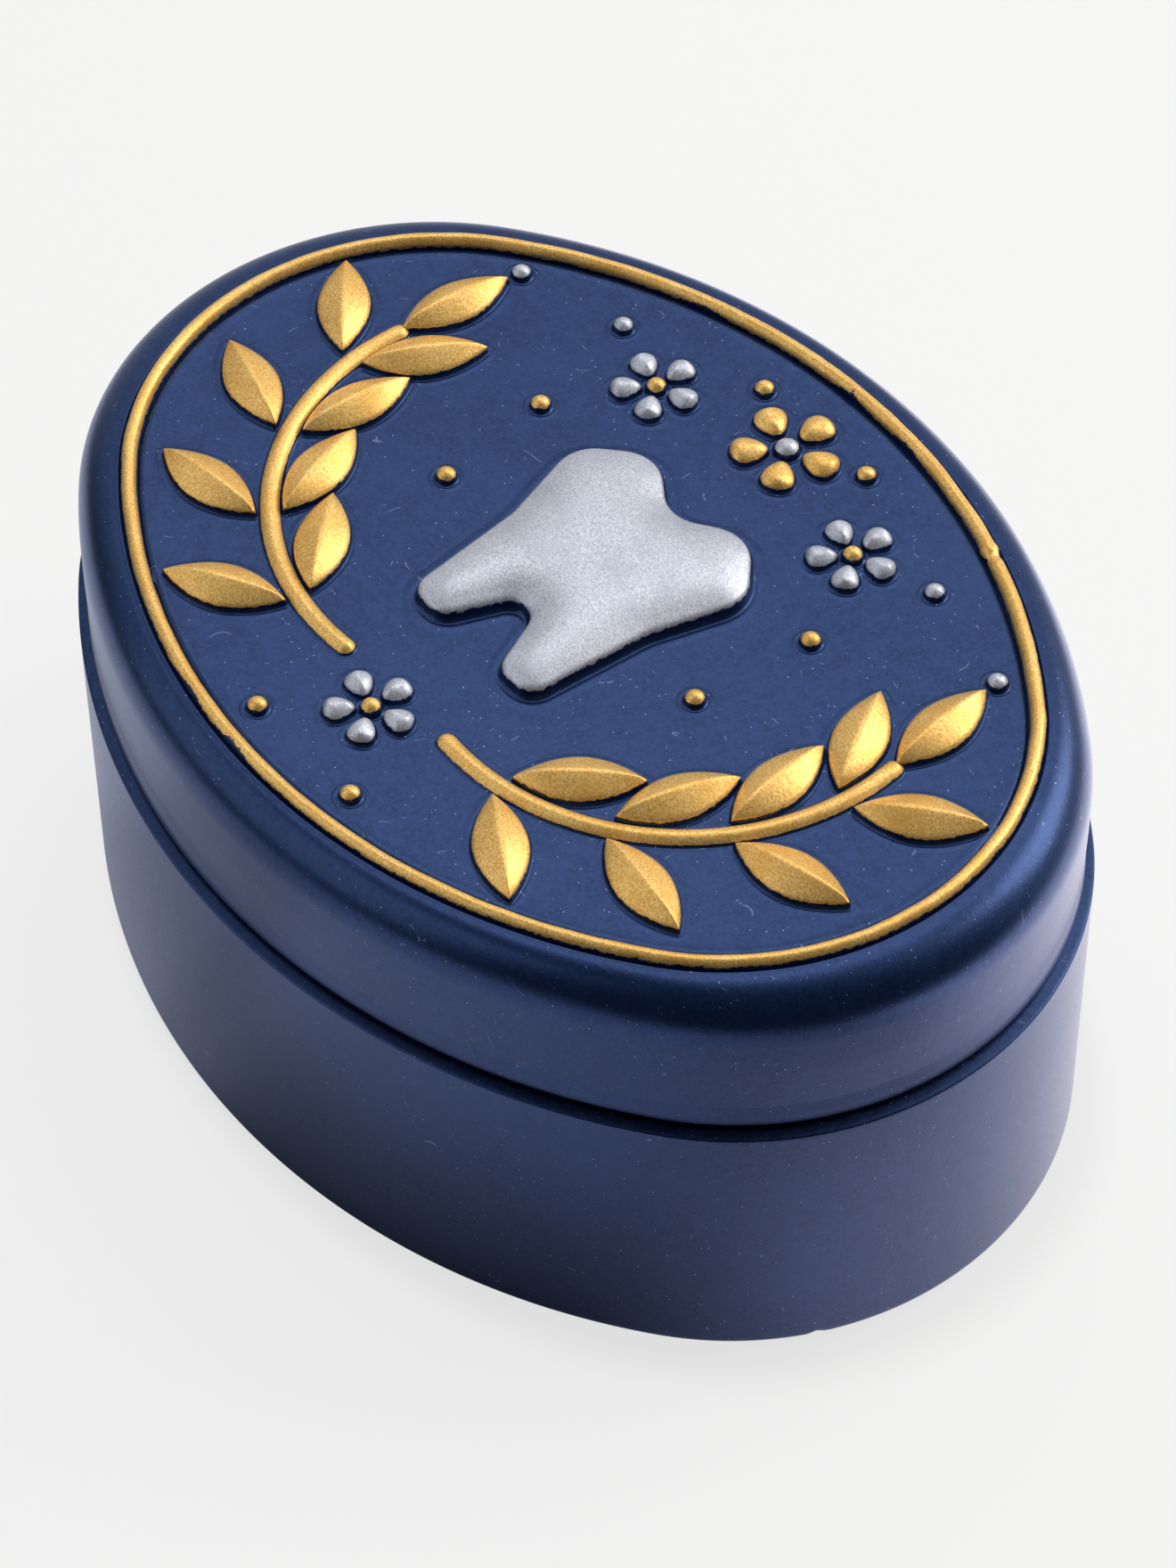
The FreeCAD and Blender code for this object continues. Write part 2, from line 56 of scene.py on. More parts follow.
# Sizes read from the frame
BASE_LOW, BASE_HIGH = span("base_box")
LID_LOW, LID_HIGH = span("lid")
FELT_LOW, FELT_HIGH = span("felt_sole")
BEAD_HIGH = span("rim_bead")[1]
TOOTH_LOW, TOOTH_HIGH = span("tooth_relief")
STEM_HIGH = span("stem_right")[1]
PANEL_Z = TOOTH_LOW.z
LAND_Z = LID_HIGH.z

# Sizes of the casting that the frame's boxes don't give
BOX_END_RADIUS = 22.4
BEAD_END_RADIUS = 19.2
BEAD_HALF = 0.5
LIP_INSET = 2.8
LIP_HEIGHT = 3.0
SOCKET_INSET = 2.45
WALL = 5.0
FLOOR = 4.5
FELT_INSET = 3.5
FELT_RECESS = 0.6
ROOF = 4.4
SHOULDER_HEIGHT = 3.6
LEDGE_Z = BASE_HIGH.z - LIP_HEIGHT
ROOF_Z = PANEL_Z - ROOF

# The joint as it is seen: the ledge is a little higher and slopes out, the lid is a little smaller
LEDGE_RISE = 0.42
LEDGE_FALL = 0.22
LEDGE_BREAK = 1.1
LID_EASE = 0.2
LID_INSET = BASE_HIGH.x - LID_HIGH.x + LID_EASE

# How fine the meshes are; points closer than MERGE metres become one
AROUND = 480
BEAD_AROUND = 960
SECTION_STEPS = 18
SHOULDER_STEPS = 14
ARC_STEPS = 6
HOLD = 0.25
LONG_RUN = 10.0
LONG_RUN_SHARES = (0.08, 0.2, 0.4, 0.6, 0.8)
MERGE = 1e-7


def turns(count):
    """Even turns round a circle."""
    return [2 * math.pi * k / count for k in range(count)]


def spoke(turn):
    """The flat unit vector at a turn."""
    return Vector((math.cos(turn), math.sin(turn)))


def raised(flat, height):
    """A flat place, taken to a height."""
    return Vector((flat.x, flat.y, height))


def over_panel(flat, rise):
    """A flat place, taken to a height over the lid's panel."""
    return raised(flat, PANEL_Z + rise)


def rolled(items, by):
    """A closed run of items, started a few places further on."""
    return items[by:] + items[:by]


def clamped(value):
    return max(0.0, min(1.0, value))


class Oval:
    """A four-arc oval. Its points are taken at even turns, so all ovals line up."""

    def __init__(self, half_length, half_width, end_radius):
        self.sizes = Vector((half_length, half_width, end_radius))
        self.side_radius = (
            half_length**2 + half_width**2 - 2 * half_length * end_radius
        ) / (2 * (half_width - end_radius))
        self.end_centre = half_length - end_radius
        self.side_centre = self.side_radius - half_width
        self.meeting = math.sin(math.atan2(self.side_centre, self.end_centre))

    def inset(self, depth):
        return Oval(*(size - depth for size in self.sizes))

    def towards(self, other, share):
        return Oval(*self.sizes.lerp(other.sizes, share))

    def point(self, turn):
        ahead = spoke(turn)
        if abs(ahead.y) < self.meeting:
            centre = Vector((math.copysign(self.end_centre, ahead.x), 0))
            return centre + self.sizes.z * ahead
        centre = Vector((0, -math.copysign(self.side_centre, ahead.y)))
        return centre + self.side_radius * ahead

    def points(self):
        return [self.point(turn) for turn in turns(AROUND)]

    def ring(self, height, share=1.0):
        """The oval's points at a height, drawn in towards the middle by a share."""
        return [raised(place * share, height) for place in self.points()]


OUTLINE = Oval(BASE_HIGH.x, BASE_HIGH.y, BOX_END_RADIUS)
LID_OUTLINE = OUTLINE.inset(LID_INSET)
BEAD_LINE = Oval(BEAD_HIGH.x - BEAD_HALF, BEAD_HIGH.y - BEAD_HALF, BEAD_END_RADIUS)
PANEL = Vector((BEAD_HIGH.x - 2 * BEAD_HALF, BEAD_HIGH.y - 2 * BEAD_HALF))


def corner_arc(before, corner, after, radius, steps, most=math.inf):
    """Points of the arc that rounds a corner, taking at most so much of either side."""
    back = (before - corner).normalized()
    ahead = (after - corner).normalized()
    half = back.angle(ahead) / 2
    reach = min(radius / math.tan(half), most)
    size = reach * math.tan(half)
    centre = corner + (back + ahead).normalized() * size / math.sin(half)
    start = corner + back * reach - centre
    end = corner + ahead * reach - centre
    return [centre + start.slerp(end, step / steps) * size for step in range(steps + 1)]


def rounded(corners):
    """A profile through corners (inset, height, round), with an arc at each round."""
    places = [Vector(corner[:2]) for corner in corners]
    profile = [places[0]]
    for before, corner, after, (_, _, radius) in zip(
        places, places[1:], places[2:], corners[1:]
    ):
        arc = corner_arc(before, corner, after, radius, ARC_STEPS)
        profile.append(arc[0] + (before - corner).normalized() * HOLD)
        profile += arc
        profile.append(arc[-1] + (after - corner).normalized() * HOLD)
        if (after - corner).length > LONG_RUN:
            profile += [arc[-1].lerp(after, share) for share in LONG_RUN_SHARES]
    return profile + [places[-1]]


class Skin:
    """What one mesh is made of: points in millimetres, faces and each point's paint."""

    def __init__(self):
        self.points = []
        self.faces = []
        self.paint = []

    def add_points(self, points, paint):
        first = len(self.points)
        self.points += points
        self.paint += paint
        return first

    def sweep(self, rings, paints=None):
        """Adds a skin over closed rings of one count, with one share of paint a ring."""
        count = len(rings[0])
        paints = paints or [0.0] * len(rings)
        starts = [
            self.add_points(ring, [paint] * count) for ring, paint in zip(rings, paints)
        ]
        for low, high in zip(starts, starts[1:]):
            for i in range(count):
                j = (i + 1) % count
                self.faces.append((low + i, low + j, high + j, high + i))
        return starts

    def fan(self, start, count, tip, paint=0.0, under=False):
        """Closes a ring of points with triangles to a tip."""
        end = self.add_points([tip], [paint])
        for i in range(count):
            edge = (start + i, start + (i + 1) % count)
            self.faces.append((*(edge[::-1] if under else edge), end))

    def build(self, name, material, body, nodes):
        """Makes the mesh, riding on a body in place of CAD nodes."""
        mesh = bpy.data.meshes.new(name)
        mesh.from_pydata([place * MM for place in self.points], [], self.faces)
        mesh.attributes.new("paint", "FLOAT", "POINT").data.foreach_set("value", self.paint)
        work = bmesh.new()
        work.from_mesh(mesh)
        bmesh.ops.remove_doubles(work, verts=work.verts, dist=MERGE)
        bmesh.ops.dissolve_degenerate(work, edges=work.edges, dist=MERGE)
        for face in work.faces:
            face.smooth = True
        work.to_mesh(mesh)
        work.free()
        mesh.materials.append(material)
        item = bpy.data.objects.new(name, mesh)
        bpy.context.scene.collection.objects.link(item)
        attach(item, body)
        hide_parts(*nodes)
        return item


# Node trees

def add(tree, kind, inputs=(), **settings):
    """A node with its settings and inputs; an input is a value or a socket."""
    made = tree.nodes.new("ShaderNode" + kind)
    for name, value in settings.items():
        setattr(made, name, value)
    for name, value in dict(inputs).items():
        if isinstance(value, bpy.types.NodeSocket):
            tree.links.new(value, made.inputs[name])
        else:
            made.inputs[name].default_value = value
    return made


def srgb(red, green, blue):
    """A colour given in screen values from 0 to 255, for a node's socket."""
    shares = (value / 255 for value in (red, green, blue))
    linear = [s / 12.92 if s < 0.04045 else ((s + 0.055) / 1.055) ** 2.4 for s in shares]
    return (*linear, 1.0)


def cloud(tree, place, scale, detail=2.0):
    """Soft noise; scale counts its cells in a metre."""
    inputs = {"Vector": place, "Scale": scale, "Detail": detail}
    return add(tree, "TexNoise", inputs).outputs[0]


def ramp(tree, value, low, high, out_low=0.0, out_high=1.0):
    """Maps low..high smoothly to out_low..out_high."""
    inputs = {
        "Value": value,
        "From Min": low,
        "From Max": high,
        "To Min": out_low,
        "To Max": out_high,
    }
    return add(tree, "MapRange", inputs, interpolation_type="SMOOTHSTEP").outputs[0]


def blend(tree, share, first, second):
    """A colour between two, by a share."""
    inputs = {0: share, 6: first, 7: second}
    return add(tree, "Mix", inputs, data_type="RGBA").outputs[2]


def between(tree, share, first, second):
    """A number between two, by a share."""
    inputs = {0: share, 2: first, 3: second}
    return add(tree, "Mix", inputs, data_type="FLOAT").outputs[0]


def maths(tree, operation, first, second):
    return add(tree, "Math", {0: first, 1: second}, operation=operation).outputs[0]


def dot(tree, place, way):
    """How far a place reaches along a way."""
    inputs = {0: place, 1: way}
    return add(tree, "VectorMath", inputs, operation="DOT_PRODUCT").outputs["Value"]


def length(tree, place):
    return add(tree, "VectorMath", {0: place}, operation="LENGTH").outputs["Value"]


def new_material(name):
    """An empty node material and its object coordinates."""
    material = bpy.data.materials.new(name)
    material.use_nodes = True
    tree = material.node_tree
    tree.nodes.clear()
    return material, tree, add(tree, "TexCoord").outputs["Object"]


def shade(tree, colour, roughness, height, bump, metallic=0.0, **fixed):
    """Closes a material with its bump and shader."""
    relief = add(tree, "Bump", {"Height": height, "Strength": 1.0, "Distance": bump})
    inputs = {
        "Base Color": colour,
        "Roughness": roughness,
        "Metallic": metallic,
        "Normal": relief.outputs[0],
        **{name.replace("_", " "): value for name, value in fixed.items()},
    }
    shader = add(tree, "BsdfPrincipled", inputs)
    add(tree, "OutputMaterial", {"Surface": shader.outputs[0]})


# Colours of the finishes
NAVY_DEEP = srgb(20, 42, 84)
NAVY_LIGHT = srgb(31, 56, 102)
NAVY_PATCH = srgb(36, 61, 108)
NAVY_RIM = (0.85, 0.9, 1.0, 1.0)
DUST = srgb(150, 165, 195)
GOLD_DEEP = srgb(216, 158, 68)
GOLD_LIGHT = srgb(250, 217, 140)
SILVER_DEEP = srgb(166, 172, 187)
SILVER_LIGHT = srgb(212, 216, 227)
FELT_DEEP = srgb(34, 43, 84)
FELT_LIGHT = srgb(66, 78, 124)
WHITE = (1.0, 1.0, 1.0, 1.0)

# How the finishes take the light; a bump's depth is in metres
NAVY_METAL = 0.75
NAVY_ROUGHNESS = 0.30
NAVY_COAT = 0.2
COAT_ROUGHNESS = 0.3
PAINT_METAL = 0.65
PAINT_BUMP = 0.000012
GOLD_ROUGHNESS = 0.41
SILVER_ROUGHNESS = 0.45
FELT_ROUGHNESS = 0.95
FELT_SHEEN = 0.2
FELT_SHINE = 0.1
FELT_BUMP = 0.0003

# Cells of the finishes' patterns, in a metre
GRAIN_CELLS = 4200
MOTTLE_CELLS = 1100
PATCH_CELLS = 140
SPECK_CELLS = 7000
HAIR_CELLS = 420
HAIR_PLACE_CELLS = 760
FLAKE_CELLS = 7000
STROKE_CELLS = 420
RAGGED_CELLS = 2400
FLUFF_CELLS = 3000
TUFT_CELLS = 500

# Ramps of the patterns: from and to a level of noise, with the results there
NOISE_MIDDLE = 0.5
HAIR_LINE = (0.004, 0.009, 1.0, 0.0)
HAIR_PLACES = (0.66, 0.70)
HAIR_COVER = (0.0, 1.0, 0.0, 0.3)
SPECK_DOT = (0.2, 0.45, 1.0, 0.0)
SPECK_DRAW = (0.983, 0.998, 0.0, 0.75)
GRAIN_TONE = (0.3, 0.7)
GRAIN_ROUGHNESS = (0.25, 0.75, 0.27, 0.34)
MOTTLE_COVER = (0.35, 0.75, 0.0, 0.45)
PATCH_COVER = (0.35, 0.75, 0.0, 0.35)
FLAKE_TONE = (0.25, 0.75)
STROKE_TONE = (0.4, 0.8, 0.0, 0.5)
RAGGED_SHARE = 0.85
PAINT_EDGE = (0.44, 0.56)
PAINT_DEPTH = 2.0
FLUFF_TONE = (0.3, 0.7)


def fibres(tree, place):
    """Short curved hairs: thin level lines of a soft noise, kept in a few places."""
    field = cloud(tree, place, HAIR_CELLS, detail=0.0)
    line = maths(tree, "ABSOLUTE", maths(tree, "SUBTRACT", field, NOISE_MIDDLE), 0.0)
    kept = ramp(tree, cloud(tree, place, HAIR_PLACE_CELLS, detail=1.0), *HAIR_PLACES)
    return maths(tree, "MULTIPLY", ramp(tree, line, *HAIR_LINE), kept)


def specks(tree, place):
    """Small pale dots, in the few cells that a draw picks."""
    cells = add(tree, "TexVoronoi", {"Vector": place, "Scale": SPECK_CELLS})
    draw = add(tree, "SeparateColor", {0: cells.outputs["Color"]}).outputs[0]
    dots = ramp(tree, cells.outputs["Distance"], *SPECK_DOT)
    return maths(tree, "MULTIPLY", dots, ramp(tree, draw, *SPECK_DRAW))


def navy_layers(tree, place):
    """Colour, roughness and height of the satin navy paint, with its dust."""
    grain = cloud(tree, place, GRAIN_CELLS, detail=3.0)
    mottle = cloud(tree, place, MOTTLE_CELLS, detail=2.0)
    patches = cloud(tree, place, PATCH_CELLS, detail=3.0)
    colour = blend(tree, ramp(tree, grain, *GRAIN_TONE), NAVY_DEEP, NAVY_LIGHT)
    colour = blend(tree, ramp(tree, mottle, *MOTTLE_COVER), colour, NAVY_PATCH)
    colour = blend(tree, ramp(tree, patches, *PATCH_COVER), colour, NAVY_PATCH)
    hairs = ramp(tree, fibres(tree, place), *HAIR_COVER)
    dust = maths(tree, "MAXIMUM", specks(tree, place), hairs)
    colour = blend(tree, dust, colour, DUST)
    roughness = ramp(tree, grain, *GRAIN_ROUGHNESS)
    return colour, roughness, maths(tree, "ADD", grain, dust)


def navy_resin():
    """Satin navy paint under a thin clear coat."""
    material, tree, place = new_material("navy_resin")
    colour, roughness, height = navy_layers(tree, place)
    shade(
        tree,
        colour,
        roughness,
        height,
        PAINT_BUMP,
        NAVY_METAL,
        Specular_Tint=NAVY_RIM,
        Coat_Weight=NAVY_COAT,
        Coat_Roughness=COAT_ROUGHNESS,
    )
    return material


def metal_on_navy(name, deep, light, roughness):
    """Metal paint over the navy, ragged where the point's paint runs out."""
    material, tree, place = new_material(name)
    navy = navy_layers(tree, place)[0]
    flakes = cloud(tree, place, FLAKE_CELLS, detail=2.0)
    strokes = cloud(tree, place, STROKE_CELLS, detail=3.0)
    metal = blend(tree, ramp(tree, flakes, *FLAKE_TONE), deep, light)
    metal = blend(tree, ramp(tree, strokes, *STROKE_TONE), metal, deep)
    paint = add(tree, "Attribute", attribute_name="paint").outputs["Fac"]
    ragged = cloud(tree, place, RAGGED_CELLS, detail=4.0)
    ragged = maths(tree, "SUBTRACT", ragged, NOISE_MIDDLE)
    edge = maths(tree, "ADD", paint, maths(tree, "MULTIPLY", ragged, RAGGED_SHARE))
    cover = ramp(tree, edge, *PAINT_EDGE)
    shade(
        tree,
        blend(tree, cover, navy, metal),
        ramp(tree, cover, 0.0, 1.0, NAVY_ROUGHNESS, roughness),
        maths(tree, "ADD", maths(tree, "MULTIPLY", cover, PAINT_DEPTH), flakes),
        PAINT_BUMP,
        ramp(tree, cover, 0.0, 1.0, NAVY_METAL, PAINT_METAL),
        Specular_Tint=blend(tree, cover, NAVY_RIM, WHITE),
        Coat_Weight=ramp(tree, cover, 0.0, 1.0, NAVY_COAT, 0.0),
        Coat_Roughness=COAT_ROUGHNESS,
    )
    return material


def navy_felt():
    """Pressed felt, dull and fluffy."""
    material, tree, place = new_material("navy_felt")
    fluff = cloud(tree, place, FLUFF_CELLS, detail=5.0)
    tufts = cloud(tree, place, TUFT_CELLS, detail=3.0)
    shade(
        tree,
        blend(tree, ramp(tree, fluff, *FLUFF_TONE), FELT_DEEP, FELT_LIGHT),
        FELT_ROUGHNESS,
        maths(tree, "ADD", fluff, tufts),
        FELT_BUMP,
        Sheen_Weight=FELT_SHEEN,
        Specular_IOR_Level=FELT_SHINE,
    )
    return material


NAVY = navy_resin()
GOLD = metal_on_navy("gold_on_navy", GOLD_DEEP, GOLD_LIGHT, GOLD_ROUGHNESS)
SILVER = metal_on_navy("silver_on_navy", SILVER_DEEP, SILVER_LIGHT, SILVER_ROUGHNESS)
FELT = navy_felt()


# The base

RECESS_ROUND = 0.1
FOOT_ROUND = 0.5
LEDGE_ROUND = 0.15
BREAK_ROUND = 0.3
LIP_ROUND = 0.45
CAVITY_ROUND = 3.0
CAVITY_FLAT = 6.0
CHIP_TURN = math.radians(-26)
CHIP_REACH = 0.6
CHIP_DEPTH = 0.25
CHIP_RISE_SHARE = 0.7
CHIP_GRAIN = 3


def chipped(place):
    """A point of the base, pushed in where the foot's edge is chipped."""
    flat = OUTLINE.point(CHIP_TURN)
    near = 1 - (place - raised(flat, BASE_LOW.z)).length / CHIP_REACH
    if near <= 0:
        return place
    rough = 1 + noise.noise(place * CHIP_GRAIN)
    push = Vector((-flat.x, -flat.y, 0)).normalized() + Vector((0, 0, CHIP_RISE_SHARE))
    return place + push * CHIP_DEPTH * near * rough


def make_base():
    """The cup: foot with the felt's recess, wall, ledge, lip and cavity."""
    profile = rounded(
        [
            (FELT_INSET, BASE_LOW.z + FELT_RECESS, 0),
            (FELT_INSET, BASE_LOW.z, RECESS_ROUND),
            (0, BASE_LOW.z, FOOT_ROUND),
            (0, LEDGE_Z + LEDGE_RISE - LEDGE_FALL, LEDGE_ROUND),
            (LEDGE_BREAK, LEDGE_Z + LEDGE_RISE, BREAK_ROUND),
            (LIP_INSET, LEDGE_Z + LEDGE_RISE, LEDGE_ROUND),
            (LIP_INSET, BASE_HIGH.z, LIP_ROUND),
            (WALL, BASE_HIGH.z, LIP_ROUND),
            (WALL, BASE_LOW.z + FLOOR, CAVITY_ROUND),
            (WALL + CAVITY_FLAT, BASE_LOW.z + FLOOR, 0),
        ]
    )
    rings = [OUTLINE.inset(inset).ring(height) for inset, height in profile]
    skin = Skin()
    starts = skin.sweep([[chipped(place) for place in ring] for ring in rings])
    recess, floor = rings[0][0].z, rings[-1][0].z
    skin.fan(starts[0], AROUND, Vector((0, 0, recess)), under=True)
    skin.fan(starts[-1], AROUND, Vector((0, 0, floor)))
    return skin.build("base_box_cast", NAVY, "base", ["base_box"])


# The lid

HOLLOW_ROUND = 2.0
HOLLOW_FLAT = 4.0
SEAT_ROUND = 0.15
SOCKET_ROUND = 0.1
LID_EDGE_ROUND = 0.2
LID_LAND = 0.25

# A faint waist low in the lid's wall
WAIST_DEPTH = 0.05
WAIST_START = 0.9
WAIST_MIDDLE = 1.8
WAIST_END = 5.0
WAIST_START_ROUND = 0.5
WAIST_ROUND = 1.0

# The bead's bed: insets from the bead's line, heights over the land or the panel, and gold on the panel
LAND_ROWS = [(-0.70, 0.02), (-0.62, -0.02), (-0.54, -0.18), (0.0, -0.20)]
PANEL_START = 1.60
PANEL_ROWS = [
    (0.54, -0.14, 0.0),
    (0.62, -0.10, 0.05),
    (0.74, 0.02, 0.22),
    (0.98, 0.05, 0.26),
    (1.20, 0.02, 0.1),
    (PANEL_START, 0.0, 0.0),
]
PANEL_SHARES = (0.75, 0.5, 0.25)


def lid_underside():
    """The lid's profile from its hollow, over socket and edge, to the top of its wall."""
    return rounded(
        [
            (WALL + HOLLOW_FLAT, ROOF_Z, 0),
            (WALL, ROOF_Z, HOLLOW_ROUND),
            (WALL, BASE_HIGH.z, SEAT_ROUND),
            (SOCKET_INSET, BASE_HIGH.z, SOCKET_ROUND),
            (SOCKET_INSET, LID_LOW.z, LID_EDGE_ROUND),
            (LID_INSET, LID_LOW.z, LID_EDGE_ROUND),
            (LID_INSET, LID_LOW.z + WAIST_START, WAIST_START_ROUND),
            (LID_INSET + WAIST_DEPTH, LID_LOW.z + WAIST_MIDDLE, WAIST_ROUND),
            (LID_INSET, LID_LOW.z + WAIST_END, WAIST_ROUND),
            (LID_INSET, LAND_Z - SHOULDER_HEIGHT, 0),
        ]
    )


def make_lid():
    """The cover: socket and hollow below, wall and rounded shoulder, ring bed and panel."""
    rings = [OUTLINE.inset(inset).ring(height) for inset, height in lid_underside()]
    land = BEAD_LINE.inset(-BEAD_HALF - LID_LAND)
    for step in range(1, SHOULDER_STEPS + 1):
        angle = math.pi / 2 * step / SHOULDER_STEPS
        oval = LID_OUTLINE.towards(land, 1 - math.cos(angle))
        rings.append(oval.ring(LAND_Z - SHOULDER_HEIGHT * (1 - math.sin(angle))))
    rings += [BEAD_LINE.inset(inset).ring(LAND_Z + rise) for inset, rise in LAND_ROWS]
    paints = [0.0] * len(rings)
    for inset, rise, paint in PANEL_ROWS:
        rings.append(BEAD_LINE.inset(inset).ring(PANEL_Z + rise))
        paints.append(paint)
    for share in PANEL_SHARES:
        rings.append(BEAD_LINE.inset(PANEL_START).ring(PANEL_Z, share))
        paints.append(0.0)
    skin = Skin()
    starts = skin.sweep(rings, paints)
    skin.fan(starts[0], AROUND, Vector((0, 0, ROOF_Z)), under=True)
    skin.fan(starts[-1], AROUND, Vector((0, 0, PANEL_Z)))
    return skin.build("lid_cast", GOLD, "lid", ["lid"])


# The bead

BEAD_SINK = 0.08
BEAD_FOOT = LAND_Z - BEAD_SINK
SECTION_START = -32
SECTION_SWEEP = 244

# Its unevenness: sizes, and noise cells in a millimetre
WOBBLE = 0.04
WOBBLE_CELLS = 0.35
UNEVEN_SHARE = 0.05
HEIGHT_CELLS = 0.9
WIDTH_CELLS = 0.7

# A casting nick with a lump beside it
NICK_TURN = math.radians(68.5)
NICK_REACH = 3
DENT_WIDTH = 0.3
DENT_SHARE = 0.45
LUMP_PLACE = 0.75
LUMP_WIDTH = 0.35
LUMP_SHARE = 0.25

# Its paint: the share at its sides, what its top gains, what its outer side and bare spots lose
PAINT_SHARE = 0.30
PAINT_TOP_SHARE = 0.95
PAINT_OUTER_SHARE = 0.18
PAINT_WORN_SHARE = 0.42
PAINT_DENT_SHARE = 0.4
WORN_TURNS = [math.radians(turn) for turn in (-94, -101, 91, 83, 108)]
WORN_REACH = 2.2


def bell(away, width):
    return math.exp(-((away / width) ** 2))


def bead_section(turn):
    """The bead's cross-section at a turn: its points and their paint."""
    middle, ahead = BEAD_LINE.point(turn), spoke(turn)
    place = raised(middle, 0)
    from_nick = middle - BEAD_LINE.point(NICK_TURN)
    near = from_nick.length < NICK_REACH
    away = from_nick.dot(Vector((-ahead.y, ahead.x)))
    dent = bell(away, DENT_WIDTH) * near
    lump = bell(away - LUMP_PLACE, LUMP_WIDTH) * near
    from_worn = min((BEAD_LINE.point(spot) - middle).length for spot in WORN_TURNS)
    wear = max(0, 1 - from_worn / WORN_REACH)
    wobble = noise.noise(place * WOBBLE_CELLS) * WOBBLE
    uneven = UNEVEN_SHARE * abs(noise.noise(place * HEIGHT_CELLS))
    height = (BEAD_HIGH.z - BEAD_FOOT) * (1 - uneven - DENT_SHARE * dent)
    wider = UNEVEN_SHARE * noise.noise(place * WIDTH_CELLS)
    half = BEAD_HALF * (1 + wider + LUMP_SHARE * lump)
    points, paints = [], []
    for step in range(SECTION_STEPS):
        angle = math.radians(SECTION_START + SECTION_SWEEP * step / (SECTION_STEPS - 1))
        flat = middle + ahead * (wobble + half * math.cos(angle))
        points.append(raised(flat, BEAD_FOOT + height * math.sin(angle)))
        cover = PAINT_SHARE + PAINT_TOP_SHARE * math.sin(angle)
        cover = clamped(cover - PAINT_OUTER_SHARE * math.cos(angle))
        paints.append(cover - PAINT_WORN_SHARE * wear - PAINT_DENT_SHARE * dent)
    return points, paints


def make_bead():
    """The raised ring: a half round, uneven by hand, with a casting nick and worn spots."""
    skin = Skin()
    for turn in turns(BEAD_AROUND):
        skin.add_points(*bead_section(turn))
    for k in range(BEAD_AROUND):
        here = k * SECTION_STEPS
        there = (k + 1) % BEAD_AROUND * SECTION_STEPS
        for i in range(SECTION_STEPS):
            j = (i + 1) % SECTION_STEPS
            skin.faces.append((here + i, there + i, there + j, here + j))
    return skin.build("rim_bead_cast", GOLD, "lid", ["rim_bead"])


# The felt

FELT_CUT_ROUND = 0.3
FELT_TOP_ROUND = 0.1
FELT_FLAT = 4.0


def make_felt():
    """The felt sole, with a soft cut edge."""
    margin = BASE_HIGH.x - FELT_HIGH.x
    profile = rounded(
        [
            (margin + FELT_FLAT, FELT_LOW.z, 0),
            (margin, FELT_LOW.z, FELT_CUT_ROUND),
            (margin, FELT_HIGH.z, FELT_TOP_ROUND),
            (margin + FELT_FLAT, FELT_HIGH.z, 0),
        ]
    )
    rings = [OUTLINE.inset(inset).ring(height) for inset, height in profile]
    skin = Skin()
    starts = skin.sweep(rings)
    skin.fan(starts[0], AROUND, Vector((0, 0, FELT_LOW.z)), under=True)
    skin.fan(starts[-1], AROUND, Vector((0, 0, FELT_HIGH.z)))
    item = skin.build("felt_sole_cut", FELT, "base", ["felt_sole"])
    flat = [place * MM for place in OUTLINE.inset(margin).points()]
    return item


# The relief

TOOTH_SKIRT = 0.9
SPRIG_SKIRT = 0.55
PEARL_SKIRT = 0.4

# A motif's moat and side: shares of its skirt outwards and of its edge upwards, and paint
SIDE_SHARES = [
    (1.40, -0.012, 0.0),
    (1.15, 0.004, 0.0),
    (0.92, 0.030, 0.04),
    (0.72, 0.055, 0.12),
    (0.56, 0.045, 0.05),
    (0.44, 0.02, 0.0),
    (0.34, 0.02, 0.0),
    (0.26, 0.07, 0.0),
    (0.18, 0.22, 0.0),
    (0.11, 0.47, 0.18),
    (0.05, 0.74, 0.45),
    (0.00, 0.93, 0.66),
]
MOAT_ROWS = 7


def normals_of(outline):
    """Unit vectors that point out of a closed outline, at its points."""
    found = []
    for before, after in zip(rolled(outline, -1), rolled(outline, 1)):
        along = (after - before).normalized()
        found.append(Vector((along.y, -along.x)))
    return found


def side_rings(outline, edge, skirt):
    """Rings up a relief's skirt and side, to its top edge, with their paint."""
    normals = normals_of(outline)
    rings = []
    for out, up, _ in SIDE_SHARES:
        places = (p + n * out * skirt for p, n in zip(outline, normals))
        rings.append([over_panel(place, up * edge) for place in places])
    return rings, [paint for _, _, paint in SIDE_SHARES]


def mound(skin, outline, spine, edge, heights, steps=8, power=2.0):
    """A relief whose top rises from its outline to a spine, one spine point for each
    outline point, at the heights given; power 1 makes flat facets and 2 a round top."""
    rings, paints = side_rings(outline, edge, SPRIG_SKIRT)
    for step in range(1, steps + 1):
        share = step / steps
        lift = 1 - (1 - share) ** power
        ring = []
        for place, middle, height in zip(outline, spine, heights):
            ring.append(over_panel(place.lerp(middle, share), edge + (height - edge) * lift))
        rings.append(ring)
        paints.append(1.0)
    skin.sweep(rings, paints)


